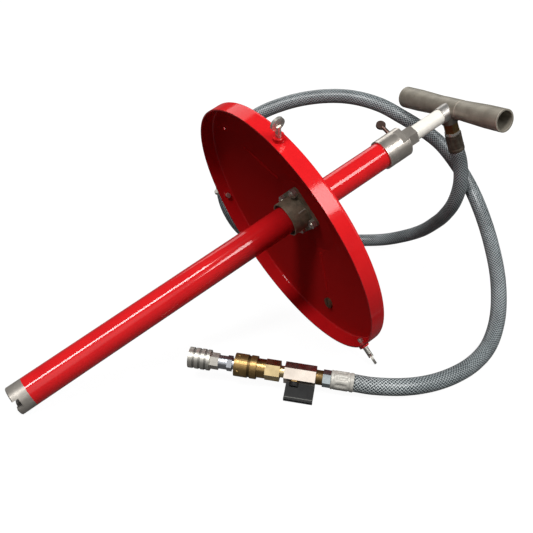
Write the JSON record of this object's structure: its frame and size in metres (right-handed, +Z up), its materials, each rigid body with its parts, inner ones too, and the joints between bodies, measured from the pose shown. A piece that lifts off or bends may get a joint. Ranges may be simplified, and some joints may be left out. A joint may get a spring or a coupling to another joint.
{
  "type": "hand pail pump",
  "caption": "Hand-operated pail pump: red barrel through a dished pail cover, T-handle plunger, braided hose with ball valve and quick couplers.",
  "frame": {"origin": "on the floor under the middle of the pump's box, without the hose and what is on it", "axes": "+X along the pump from its foot to its handle, as it lies; +Z up; +Y to the side of the far grip"},
  "size_m": [0.6503, 0.4378, 0.2997],
  "materials": {
    "red_paint": "glossy enamel",
    "aluminium": "turned",
    "steel": "satin",
    "raw_steel": "raw tube, grey brown",
    "zinc": "zinc plated",
    "bronze": "dark, tarnished",
    "brass": "worn",
    "nickel": "nickel plated, warm",
    "rod_plastic": "white",
    "black_plastic": "black",
    "hose": "grey braided",
    "seal": "black",
    "ptfe": "white",
    "leather": "oiled"
  },
  "bodies": {
    "barrel": {"barrel_tube": "red_paint", "foot_body": "aluminium", "foot_seal": "seal", "foot_ball_pin": "steel", "head_cap": "aluminium", "rod_bush": "ptfe", "gland_packing": "seal", "gland_nut": "aluminium", "hose_run": "hose", "end_ferrule": "zinc", "swivel_nut": "zinc", "hose_tail": "brass", "valve_body": "nickel", "valve_seats": "ptfe", "stem_nut": "brass", "coupler_body": "brass", "coupler_spring": "steel", "coupler_balls": "steel", "coupler_seal": "seal", "plug_nipple": "zinc", "tip_body": "zinc", "tip_spring": "steel", "tip_balls": "steel", "tip_seal": "seal"},
    "foot_check_ball": {"foot_ball": "steel"},
    "cover": {"cover_pan": "red_paint", "screw_bosses": "red_paint", "collar": "bronze", "collar_bolts": "zinc", "collar_nuts": "zinc", "collar_washers": "zinc", "vent_plug": "brass", "vent_nut": "brass"},
    "near_cover_screw": {"cover_screw_near": "zinc"},
    "far_cover_screw": {"cover_screw_far": "zinc"},
    "top_cover_screw": {"cover_screw_top": "zinc"},
    "head_lock_screw": {"head_screw": "zinc"},
    "plunger": {"plunger_rod": "rod_plastic", "piston_body": "aluminium", "piston_cup": "leather", "piston_nut": "steel", "piston_ball_pin": "steel", "handle_neck": "steel", "handle_sleeve": "raw_steel", "grip_near": "raw_steel", "grip_far": "raw_steel", "outlet_nipple": "brass", "outlet_ring": "zinc", "outlet_ferrule": "bronze"},
    "piston_check_ball": {"piston_ball": "steel"},
    "valve_handle": {"valve_ball": "steel", "valve_stem": "steel", "valve_lever": "black_plastic", "lever_screw": "zinc"},
    "brass_coupler_sleeve": {"coupler_sleeve": "brass"},
    "end_coupler_sleeve": {"tip_sleeve": "zinc"}
  },
  "joints": [
    {"name": "plunger_stroke", "type": "slide", "parent": "barrel", "child": "plunger", "axis": [0.9161, 0, 0.401], "range_m": [-0.04, 0.34], "deforming": ["hose_run"]},
    {"name": "foot_ball_lift", "type": "slide", "parent": "barrel", "child": "foot_check_ball", "axis": [0.9161, 0, 0.401], "range_m": [0, 0.004]},
    {"name": "piston_ball_lift", "type": "slide", "parent": "plunger", "child": "piston_check_ball", "axis": [0.9161, 0, 0.401], "range_m": [0, 0.004]},
    {"name": "cover_slide", "type": "slide", "parent": "barrel", "child": "cover", "axis": [0.9161, 0, 0.401], "range_m": [-0.03, 0.1]},
    {"name": "near_screw_feed", "type": "slide", "parent": "cover", "child": "near_cover_screw", "axis": [0.3437, -0.515, -0.7852], "range_m": [-0.009, 0.006]},
    {"name": "far_screw_feed", "type": "slide", "parent": "cover", "child": "far_cover_screw", "axis": [0.007, 0.9998, -0.016], "range_m": [-0.009, 0.006]},
    {"name": "top_screw_feed", "type": "slide", "parent": "cover", "child": "top_cover_screw", "axis": [-0.3507, -0.4848, 0.8012], "range_m": [-0.009, 0.006]},
    {"name": "head_screw_feed", "type": "slide", "parent": "barrel", "child": "head_lock_screw", "axis": [-0.23, 0.8192, 0.5255], "range_m": [0, 0.004]},
    {"name": "valve_turn", "type": "hinge", "parent": "barrel", "child": "valve_handle", "pos_m": [-0.00982, -0.11091, 0.02109], "axis": [-0.5671, -0.6319, -0.5283], "range_deg": [0, 90]},
    {"name": "brass_sleeve_pull", "type": "slide", "parent": "barrel", "child": "brass_coupler_sleeve", "axis": [0.7737, -0.6287, -0.0785], "range_m": [0, 0.005], "stiffness_N_per_m": 900, "springref_m": -0.002},
    {"name": "end_sleeve_pull", "type": "slide", "parent": "barrel", "child": "end_coupler_sleeve", "axis": [0.7737, -0.6287, -0.0785], "range_m": [0, 0.005], "stiffness_N_per_m": 900, "springref_m": -0.002}
  ]
}
